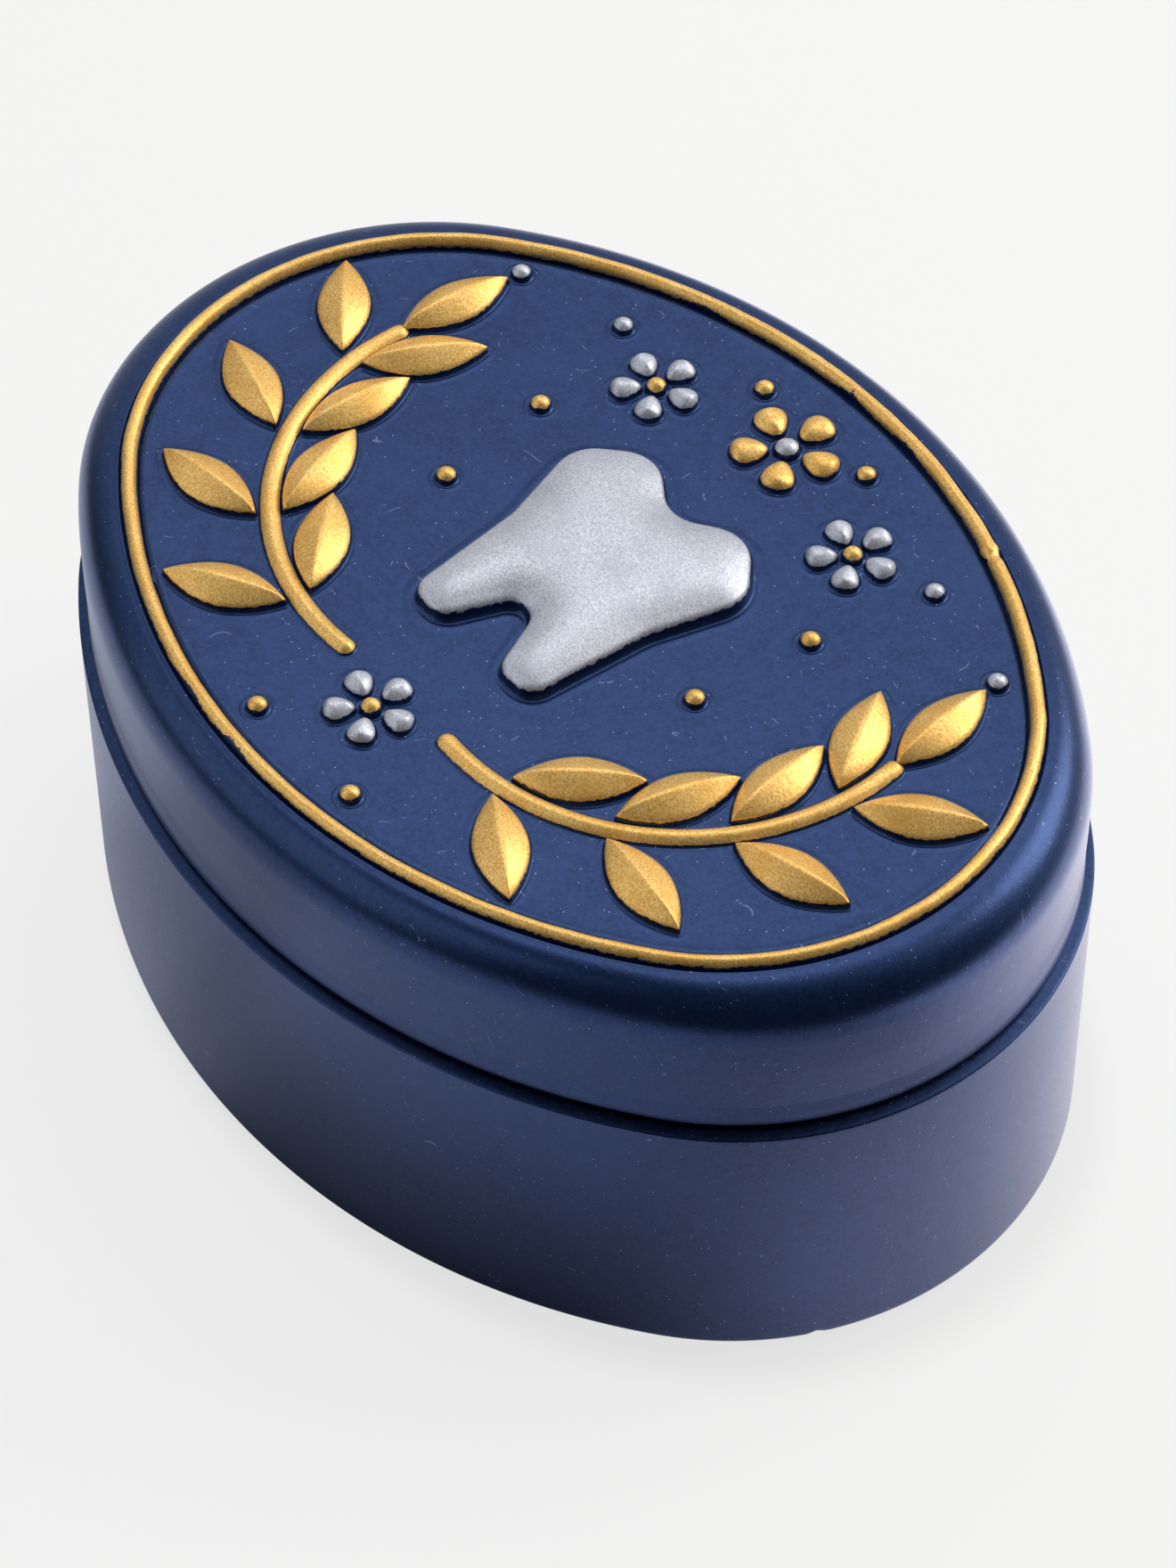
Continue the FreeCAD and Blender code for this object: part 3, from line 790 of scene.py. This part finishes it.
def islands(node):
    """The solids of a node, each as the list of its corner points in millimetres."""
    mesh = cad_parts[node].data
    places = [Vector(round(value, 3) for value in v.co / MM) for v in mesh.vertices]
    group = {tuple(place): index for index, place in enumerate(places)}
    leader = list(range(len(places)))

    def find(index):
        while leader[index] != index:
            index = leader[index]
        return index

    for edge in mesh.edges:
        first, second = (find(group[tuple(places[index])]) for index in edge.vertices)
        leader[second] = first
    solids = {}
    for place, index in group.items():
        solids.setdefault(find(index), []).append(Vector(place))
    return list(solids.values())


def height_of(solid):
    """How high a solid stands over the panel."""
    return max(point.z for point in solid) - PANEL_Z


def tips_of(solid):
    """The two points of a solid that lie furthest apart on the panel."""
    flat = [point.xy for point in solid]
    pairs = ((a, b) for k, a in enumerate(flat) for b in flat[k + 1:])
    return max(pairs, key=lambda pair: (pair[0] - pair[1]).length)


def blade_of(solid, foot, tip):
    """A blade's middle, half its axis, and half its width as a vector across it."""
    axis = (tip - foot) / 2
    across = Vector((-axis.y, axis.x)).normalized()
    half = max(abs((point.xy - foot).dot(across)) for point in solid)
    return (foot + tip) / 2, axis, across * half


LEAF_EDGE = 0.5
LEAF_STEPS = 22
LEAF_POINT_POWER = 1.9
LEAF_WIDTH_POWER = 0.95
LEAF_FACET_POWER = 1.15
RIB_LENGTH_SHARE = 0.97
RIB_FALL_POWER = 0.6


def make_leaves(name, node):
    """A sprig's leaves: pointed blades with a sharp middle rib."""
    skin = Skin()
    for solid in islands(node):
        middle, axis, side_reach = blade_of(solid, *tips_of(solid))
        rise = height_of(solid) - LEAF_EDGE
        outline, spine, heights = [], [], []
        for side in (1, -1):
            for step in range(LEAF_STEPS):
                along = side * math.cos(math.pi * step / LEAF_STEPS)
                width = (1 - abs(along) ** LEAF_POINT_POWER) ** LEAF_WIDTH_POWER
                outline.append(middle + axis * along + side_reach * side * width)
                spine.append(middle + axis * along * RIB_LENGTH_SHARE)
                heights.append(LEAF_EDGE + rise * (1 - along**2) ** RIB_FALL_POWER)
        mound(skin, outline, spine, LEAF_EDGE, heights, power=LEAF_FACET_POWER)
    return skin.build(name, GOLD, "lid", [node])


STEM_RADIUS = 0.6
STEM_CENTRE_SHARES = (0.20, 0.14)
STEM_CENTRE = Vector((STEM_CENTRE_SHARES[0] * PANEL.x, STEM_CENTRE_SHARES[1] * PANEL.y))
STEM_START = math.radians(-95)
STEM_SWEEP = math.radians(101)
STEM_LINE_RADIUS = STEM_HIGH.x - STEM_RADIUS - STEM_CENTRE.x
STEM_EDGE = 0.2
STEM_LINE_STEPS = 60
STEM_END_STEPS = 8
STEM_TOP_STEPS = 6


def make_stem(name, node, side):
    """A sprig's stem: a half-round rod along an arc, with round ends."""
    outline, spine = [], []
    for edge in (1, -1):
        for step in range(STEM_LINE_STEPS):
            share = step / STEM_LINE_STEPS
            ahead = spoke(STEM_START + STEM_SWEEP * (share if edge > 0 else 1 - share))
            outline.append(STEM_CENTRE + ahead * (STEM_LINE_RADIUS + edge * STEM_RADIUS))
            spine.append(STEM_CENTRE + ahead * STEM_LINE_RADIUS)
        end = STEM_START + (STEM_SWEEP if edge > 0 else 0)
        centre = STEM_CENTRE + spoke(end) * STEM_LINE_RADIUS
        for step in range(STEM_END_STEPS):
            turn = end + (0 if edge > 0 else math.pi) + math.pi * step / STEM_END_STEPS
            outline.append(centre + STEM_RADIUS * spoke(turn))
            spine.append(centre)
    if side < 0:
        outline = [Vector((-p.x, p.y)) for p in outline[::-1]]
        spine = [Vector((-p.x, p.y)) for p in spine[::-1]]
    heights = [STEM_HIGH.z - PANEL_Z] * len(outline)
    skin = Skin()
    mound(skin, outline, spine, STEM_EDGE, heights, steps=STEM_TOP_STEPS)
    return skin.build(name, GOLD, "lid", [node])


PETAL_EDGE = 0.45
PETAL_STEPS = 40
PETAL_SWELL_SHARE = 0.32
CREST_PLACE_SHARE = 0.15
CREST_LENGTH_SHARE = 0.35


def make_petals(name, node, hearts, material):
    """Rounded petals, each pointing away from the heart nearest to it."""
    skin = Skin()
    for solid in islands(node):
        ends = tips_of(solid)
        heart = min(hearts, key=lambda place: (place - ends[0]).length)
        inner, outer = sorted(ends, key=lambda place: (place - heart).length)
        middle, axis, side_reach = blade_of(solid, inner, outer)
        outline, spine = [], []
        for turn in turns(PETAL_STEPS):
            along = math.cos(turn)
            width = math.sin(turn) * (1 + PETAL_SWELL_SHARE * along)
            outline.append(middle + axis * along + side_reach * width)
            spine.append(middle + axis * (CREST_PLACE_SHARE + CREST_LENGTH_SHARE * along))
        mound(skin, outline, spine, PETAL_EDGE, [height_of(solid)] * PETAL_STEPS)
    return skin.build(name, material, "lid", [node])


PEARL_STEPS = 28
PEARL_RINGS = 9
PEARL_PAINT_RISE = 2.4
PEARL_PAINT_START = 0.75


def make_pearls(name, node, material):
    """Domed pearls, painted on their tops."""
    skin = Skin()
    spokes = [spoke(turn) for turn in turns(PEARL_STEPS)]
    for solid in islands(node):
        low = Vector((min(p.x for p in solid), min(p.y for p in solid)))
        high = Vector((max(p.x for p in solid), max(p.y for p in solid)))
        centre, radius = (low + high) / 2, (high.y - low.y) / 2
        top = height_of(solid)
        levels = []
        for out, up, paint in SIDE_SHARES[:MOAT_ROWS]:
            levels.append((radius + out * PEARL_SKIRT, up * top, paint))
        lowest = SIDE_SHARES[MOAT_ROWS][1] * top
        for step in range(PEARL_RINGS):
            angle = math.pi / 2 * step / PEARL_RINGS
            paint = clamped(PEARL_PAINT_RISE * math.sin(angle) - PEARL_PAINT_START)
            up = max(top * math.sin(angle), lowest)
            levels.append((radius * math.cos(angle), up, paint))
        rings = [[over_panel(centre + s * reach, up) for s in spokes] for reach, up, _ in levels]
        starts = skin.sweep(rings, [paint for _, _, paint in levels])
        skin.fan(starts[-1], PEARL_STEPS, over_panel(centre, top), paint=1.0)
    return skin.build(name, material, "lid", [node])


TOOTH_HALF = Vector((8.5, 9.5))
TOOTH_CENTRE = Vector((0, 1.17))
TOOTH_CROWN_SHARES = [(0, 0.66), (0.52, 0.99), (0.99, 0.60), (0.76, -0.08)]
TOOTH_ROOT_SHARES = [(0.67, -1), (0.33, -1), (0, -0.30)]
TOOTH_CROWN_ROUND = 2.7
TOOTH_ROOT_ROUND = 1.4
TOOTH_ROUND_SHARE = 0.45
TOOTH_ARC_STEPS = 8
TOOTH_EDGE = 0.85
TOOTH_GAP = 0.3
TOOTH_RIM_DEPTHS = (0.12, 0.28)
TOOTH_GRID = 0.42
TOOTH_CLEAR_SHARE = 0.6
TOOTH_PILLOW_POWER = 2.2
TRIANGLE_MERGE = 1e-6


def tooth_outline():
    """The tooth's outline: a closed smooth curve through its crown and its two roots."""
    right = TOOTH_CROWN_SHARES + TOOTH_ROOT_SHARES
    left = [(-x, y) for x, y in right[-2:0:-1]]
    corners = [
        Vector((x * TOOTH_HALF.x, y * TOOTH_HALF.y)) + TOOTH_CENTRE
        for x, y in (right + left)[::-1]
    ]
    outline = []
    for before, corner, after in zip(rolled(corners, -1), corners, rolled(corners, 1)):
        crown = corner.y > TOOTH_CENTRE.y - TOOTH_HALF.y / 2
        radius = TOOTH_CROWN_ROUND if crown else TOOTH_ROOT_ROUND
        most = TOOTH_ROUND_SHARE * min((before - corner).length, (after - corner).length)
        outline += corner_arc(before, corner, after, radius, TOOTH_ARC_STEPS, most)
    return outline


def spaced(outline, gap):
    """A closed outline's points at about an even gap."""
    lengths = [(b - a).length for a, b in zip(outline, rolled(outline, 1))]
    count = round(sum(lengths) / gap)
    walk = sum(lengths) / count
    found, along, index = [], 0.0, 0
    for k in range(count):
        goal = k * walk
        while along + lengths[index] < goal:
            along += lengths[index]
            index += 1
        after = outline[(index + 1) % len(outline)]
        found.append(outline[index].lerp(after, (goal - along) / lengths[index]))
    return found


def soft_depth(places, outline):
    """How deep places lie inside an outline: the distance, smoothed so it has no creases."""
    points = np.array([tuple(p) for p in outline])
    ends = np.roll(points, -1, axis=0)
    middles, lengths = (points + ends) / 2, np.linalg.norm(ends - points, axis=1)
    away = np.linalg.norm(np.array(places)[:, None] - middles[None], axis=2)
    return np.sqrt(2 / (lengths / away**3).sum(axis=1))


def inside(place, outline):
    """Whether a place is inside a closed outline."""
    crossings = 0
    for a, b in zip(outline, rolled(outline, 1)):
        if (a.y > place.y) != (b.y > place.y):
            crossings += place.x < a.x + (place.y - a.y) * (b.x - a.x) / (b.y - a.y)
    return crossings % 2 == 1


def tooth_grid(border):
    """Places in staggered rows inside the tooth's top, clear of its border."""
    found = []
    rows = math.ceil((TOOTH_HIGH.y - TOOTH_LOW.y) / TOOTH_GRID)
    columns = math.ceil((TOOTH_HIGH.x - TOOTH_LOW.x) / TOOTH_GRID)
    for row in range(rows):
        for column in range(columns):
            x = TOOTH_LOW.x + (column + row % 2 / 2) * TOOTH_GRID
            place = Vector((x, TOOTH_LOW.y + row * TOOTH_GRID))
            nearest = min((place - other).length for other in border)
            if nearest > TOOTH_GRID * TOOTH_CLEAR_SHARE and inside(place, border):
                found.append(place)
    return found


def make_tooth():
    """The tooth: steep sides and a pillow top, higher in the crown than in the roots."""
    outline = spaced(tooth_outline(), TOOTH_GAP)
    rings, paints = side_rings(outline, TOOTH_EDGE, TOOTH_SKIRT)
    normals = normals_of(outline)
    for depth in TOOTH_RIM_DEPTHS:
        rings.append([raised(p - n * depth, 0) for p, n in zip(outline, normals)])
        paints.append(1.0)
    skin = Skin()
    starts = skin.sweep(rings, paints)
    border = [place.xy for place in rings[-1]]
    grid = tooth_grid(border)
    edges = [(k, (k + 1) % len(border)) for k in range(len(border))]
    made = geometry.delaunay_2d_cdt(border + grid, edges, [], 1, TRIANGLE_MERGE)
    first = starts[-1]
    skin.add_points([raised(place, 0) for place in grid], [1.0] * len(grid))
    skin.faces += [tuple(first + index for index in face) for face in made[2]]
    top = range(starts[-2], len(skin.points))
    depths = soft_depth([tuple(skin.points[k].xy) for k in top], outline)
    deepest = depths.max()
    for k, depth in zip(top, depths):
        lift = 1 - (1 - depth / deepest) ** TOOTH_PILLOW_POWER
        skin.points[k].z = PANEL_Z + TOOTH_EDGE + (TOOTH_HIGH.z - PANEL_Z - TOOTH_EDGE) * lift
    return skin.build("tooth_cast", SILVER, "lid", ["tooth_relief"])


def pearl_middle(solid):
    """The middle of a pearl, on the panel."""
    return sum((point.xy for point in solid), Vector((0, 0))) / len(solid)


def make_relief():
    """All the ornament on the lid's panel."""
    pearls = islands("gold_pearls") + islands("silver_pearls")
    hearts = [pearl_middle(solid) for solid in pearls]
    make_tooth()
    make_stem("stem_right_cast", "stem_right", 1)
    make_stem("stem_left_cast", "stem_left", -1)
    make_leaves("leaves_right_cast", "leaves_right")
    make_leaves("leaves_left_cast", "leaves_left")
    make_petals("gold_petals_cast", "gold_petals", hearts, GOLD)
    make_petals("silver_petals_cast", "silver_petals", hearts, SILVER)
    make_pearls("gold_pearls_cast", "gold_pearls", GOLD)
    make_pearls("silver_pearls_cast", "silver_pearls", SILVER)


make_base()
make_lid()
make_bead()
make_felt()
make_relief()


# The photograph's camera, solved from the box's ovals, in the photograph's pixels

FRAME_HEIGHT = 1760
FOCAL_PIXELS = 6245
AZIMUTH = math.radians(50.67)
ELEVATION = math.radians(50.25)
ROLL = math.radians(-0.45)
DISTANCE = 351.2
TARGET = Vector((3.32, -1.76, 18.4))
CLIP_START = 0.01


def direction(azimuth, elevation):
    """The unit vector towards a place seen at an azimuth and elevation."""
    flat = Vector((math.sin(azimuth), -math.cos(azimuth), 0))
    return flat * math.cos(elevation) + Vector((0, 0, math.sin(elevation)))


def from_camera(turn, elevation=0):
    """The unit vector at a turn from the camera's azimuth, and an elevation, in degrees."""
    return direction(AZIMUTH + math.radians(turn), math.radians(elevation))


def make_camera():
    """The camera, at the photograph's place."""
    data = bpy.data.cameras.new("camera")
    camera = bpy.data.objects.new("camera", data)
    bpy.context.scene.collection.objects.link(camera)
    data.lens = FOCAL_PIXELS / FRAME_HEIGHT * data.sensor_width
    data.clip_start = CLIP_START
    back = direction(AZIMUTH, ELEVATION)
    right = Vector((0, 0, 1)).cross(back).normalized()
    turned = right * math.cos(ROLL) + back.cross(right) * math.sin(ROLL)
    pose = Matrix((turned, back.cross(turned), back)).transposed().to_4x4()
    pose.translation = (TARGET + back * DISTANCE) * MM
    camera.matrix_world = pose
    bpy.context.scene.camera = camera


# The paper under the box, in metres

PAPER = 0.905
PAPER_GLOW = 0.73
PAPER_RADIUS = 0.16
PAPER_STEPS = 96
PAPER_FADE_SHARES = (0.65, 0.98)
SHADOW_SHARE = 0.15

# The paper as mirrors see it, its glow painted with light and shade: ramps from and to a place, with
# the levels there; RING spans count box sizes
RIGHT_SIDE = from_camera(108)
PAINTED_SHADOW_SIDE = from_camera(-27)
PAINTED_SHADOW_RING = (1.0, 1.6, 1.0, 0.0)
PAINTED_SHADOW_FACING = (0.56, 0.97)
PAINTED_FOOT_SHADOW = 0.88
FAR_RING = (1.3, 1.55)
NEAR_LEVEL = (-0.045, 0.075, 0.85, 2.25)
FAR_LEVEL = (0.020, 0.048, 0.80, 2.8)
FAR_LEFT_LEVEL = (-0.035, -0.008, 0.25, 0.0)
DIM_RIGHT_EDGE = (-0.014, -0.003, 1.0, 0.0)
DIM_LEFT_EDGE = (-0.036, -0.024)
DIM_LEVEL = (0.0, 1.0, 1.0, 0.68)
TINT_SPAN = (-0.03, 0.0)
MIRROR_COOL = (0.92, 0.95, 1.08, 1.0)
MIRROR_WARM = (1.0, 0.92, 0.94, 1.0)


def paper_painted_reflection(tree, place):
    """The paper's level and tint in mirrors, all painted: a painted reflection brighter and warmer to
    the right, a painted shadow close to the box on the side away from the light, and painted shade in a
    band."""
    sizes = (1 / BASE_HIGH.x / MM, 1 / BASE_HIGH.y / MM, 0)
    shares = add(tree, "VectorMath", {0: place, 1: sizes}, operation="MULTIPLY").outputs[0]
    ring = length(tree, shares)
    ahead = add(tree, "VectorMath", {0: place}, operation="NORMALIZE").outputs[0]
    # Painted shadow: the glow darkens close to the box's foot on the side away from the lamps
    side = ramp(tree, dot(tree, ahead, PAINTED_SHADOW_SIDE), *PAINTED_SHADOW_FACING)
    foot = maths(tree, "MULTIPLY", ramp(tree, ring, *PAINTED_SHADOW_RING), side)
    light = maths(tree, "SUBTRACT", 1.0, maths(tree, "MULTIPLY", foot, PAINTED_FOOT_SHADOW))
    # Painted reflection of light: the glow grows brighter to the right, near the box and further out
    reach = dot(tree, place, RIGHT_SIDE)
    near = maths(tree, "MULTIPLY", ramp(tree, reach, *NEAR_LEVEL), light)
    left = ramp(tree, reach, *FAR_LEFT_LEVEL)
    far = maths(tree, "ADD", left, ramp(tree, reach, *FAR_LEVEL))
    level = between(tree, ramp(tree, ring, *FAR_RING), near, far)
    # Painted shade: a band across the paper where the glow is dimmer
    across = add(tree, "SeparateXYZ", {0: place}).outputs["X"]
    dim = ramp(tree, across, *DIM_RIGHT_EDGE)
    dim = maths(tree, "MULTIPLY", dim, ramp(tree, across, *DIM_LEFT_EDGE))
    level = maths(tree, "MULTIPLY", level, ramp(tree, dim, *DIM_LEVEL))
    # Painted reflection: the glow's tint, cool to the left and warm to the right
    return level, blend(tree, ramp(tree, reach, *TINT_SPAN), MIRROR_COOL, MIRROR_WARM)


def seen_directly(tree):
    """1 for rays from the camera, a mirror or glass, and 0 for light that scatters."""
    path = add(tree, "LightPath")
    seen = maths(tree, "MAXIMUM", path.outputs["Is Camera Ray"], path.outputs["Is Glossy Ray"])
    return maths(tree, "MAXIMUM", seen, path.outputs["Is Transmission Ray"])


def paper():
    """Pale paper: part lit, so that it keeps the shadow, and part of its own glow, even to the camera
    and painted with light and shade in mirrors; clear from below.
    """
    material, tree, place = new_material("paper")
    lit = add(tree, "BsdfDiffuse", {"Color": (SHADOW_SHARE,) * 3 + (1,)})
    mirrored, tint = paper_painted_reflection(tree, place)
    camera = add(tree, "LightPath").outputs["Is Camera Ray"]
    level = between(tree, camera, mirrored, 1.0)
    own = maths(tree, "MULTIPLY", seen_directly(tree), PAPER_GLOW)
    own = maths(tree, "MULTIPLY", own, level)
    glow = add(tree, "Emission", {"Color": blend(tree, camera, tint, WHITE), "Strength": own})
    sheet = add(tree, "AddShader", {0: lit.outputs[0], 1: glow.outputs[0]})
    below = add(tree, "NewGeometry").outputs["Backfacing"]
    start, end = (share * PAPER_RADIUS for share in PAPER_FADE_SHARES)
    gone = maths(tree, "MAXIMUM", below, ramp(tree, length(tree, place), start, end))
    clear = add(tree, "BsdfTransparent")
    both = add(tree, "MixShader", {0: gone, 1: sheet.outputs[0], 2: clear.outputs[0]})
    add(tree, "OutputMaterial", {"Surface": both.outputs[0]})
    return material


def make_floor():
    """A round sheet of paper, which fades into the background."""
    rim = [raised(spoke(turn) * PAPER_RADIUS, 0) for turn in turns(PAPER_STEPS)]
    mesh = bpy.data.meshes.new("floor")
    mesh.from_pydata(rim, [], [tuple(range(PAPER_STEPS))])
    floor = bpy.data.objects.new("floor", mesh)
    bpy.context.scene.collection.objects.link(floor)
    mesh.materials.append(paper())
    floor.visible_shadow = False


# The light

ROOM_DIM = 0.03
ROOM_BRIGHT = 0.66
ROOM_FACING = (0.0, 0.7)
BRIGHT_SIDE = from_camera(155, 20)
LAMP_AIM = Vector((0, 0, 0.02))
RIGHT_COLOUR = (1.0, 0.92, 0.82)


def make_world():
    """A room with a pale far side, dim where the camera stands."""
    world = bpy.data.worlds.new("room")
    bpy.context.scene.world = world
    world.use_nodes = True
    tree = world.node_tree
    tree.nodes.clear()
    look = add(tree, "TexCoord").outputs["Generated"]
    room = ramp(tree, dot(tree, look, BRIGHT_SIDE), *ROOM_FACING, ROOM_DIM, ROOM_BRIGHT)
    path = add(tree, "LightPath")
    direct = maths(
        tree, "MAXIMUM", path.outputs["Is Camera Ray"], path.outputs["Is Transmission Ray"]
    )
    level = blend(tree, direct, room, (PAPER, PAPER, PAPER, 1))
    sky = add(tree, "Background", {"Color": level, "Strength": 1.0})
    add(tree, "OutputWorld", {"Surface": sky.outputs[0]})


def make_lamp(name, way, distance, size, power):
    """A square soft lamp, turned towards the box."""
    data = bpy.data.lights.new(name, "AREA")
    data.size = size
    data.energy = power
    lamp = bpy.data.objects.new(name, data)
    bpy.context.scene.collection.objects.link(lamp)
    lamp.location = way * distance
    lamp.rotation_euler = (LAMP_AIM - lamp.location).to_track_quat("-Z", "Y").to_euler()
    return lamp


def make_lamps():
    """A small key lamp above, large soft ones behind and at both sides, and a weak one below."""
    key = make_lamp("key", from_camera(215, 85), distance=1.2, size=0.12, power=7.0)
    key.visible_glossy = False
    make_lamp("back", from_camera(172, 66), distance=0.9, size=0.6, power=1.35)
    right = make_lamp("right", from_camera(112, 36), distance=0.7, size=0.42, power=2.6)
    right.data.color = RIGHT_COLOUR
    left = make_lamp("left", from_camera(-80, 30), distance=0.8, size=0.9, power=2.2)
    left.visible_diffuse = False
    under = make_lamp("under", Vector((0, 0, -1)), distance=0.3, size=0.2, power=0.9)
    under.visible_glossy = False


make_camera()
make_floor()
make_world()
make_lamps()
bpy.context.scene.view_settings.view_transform = "Standard"
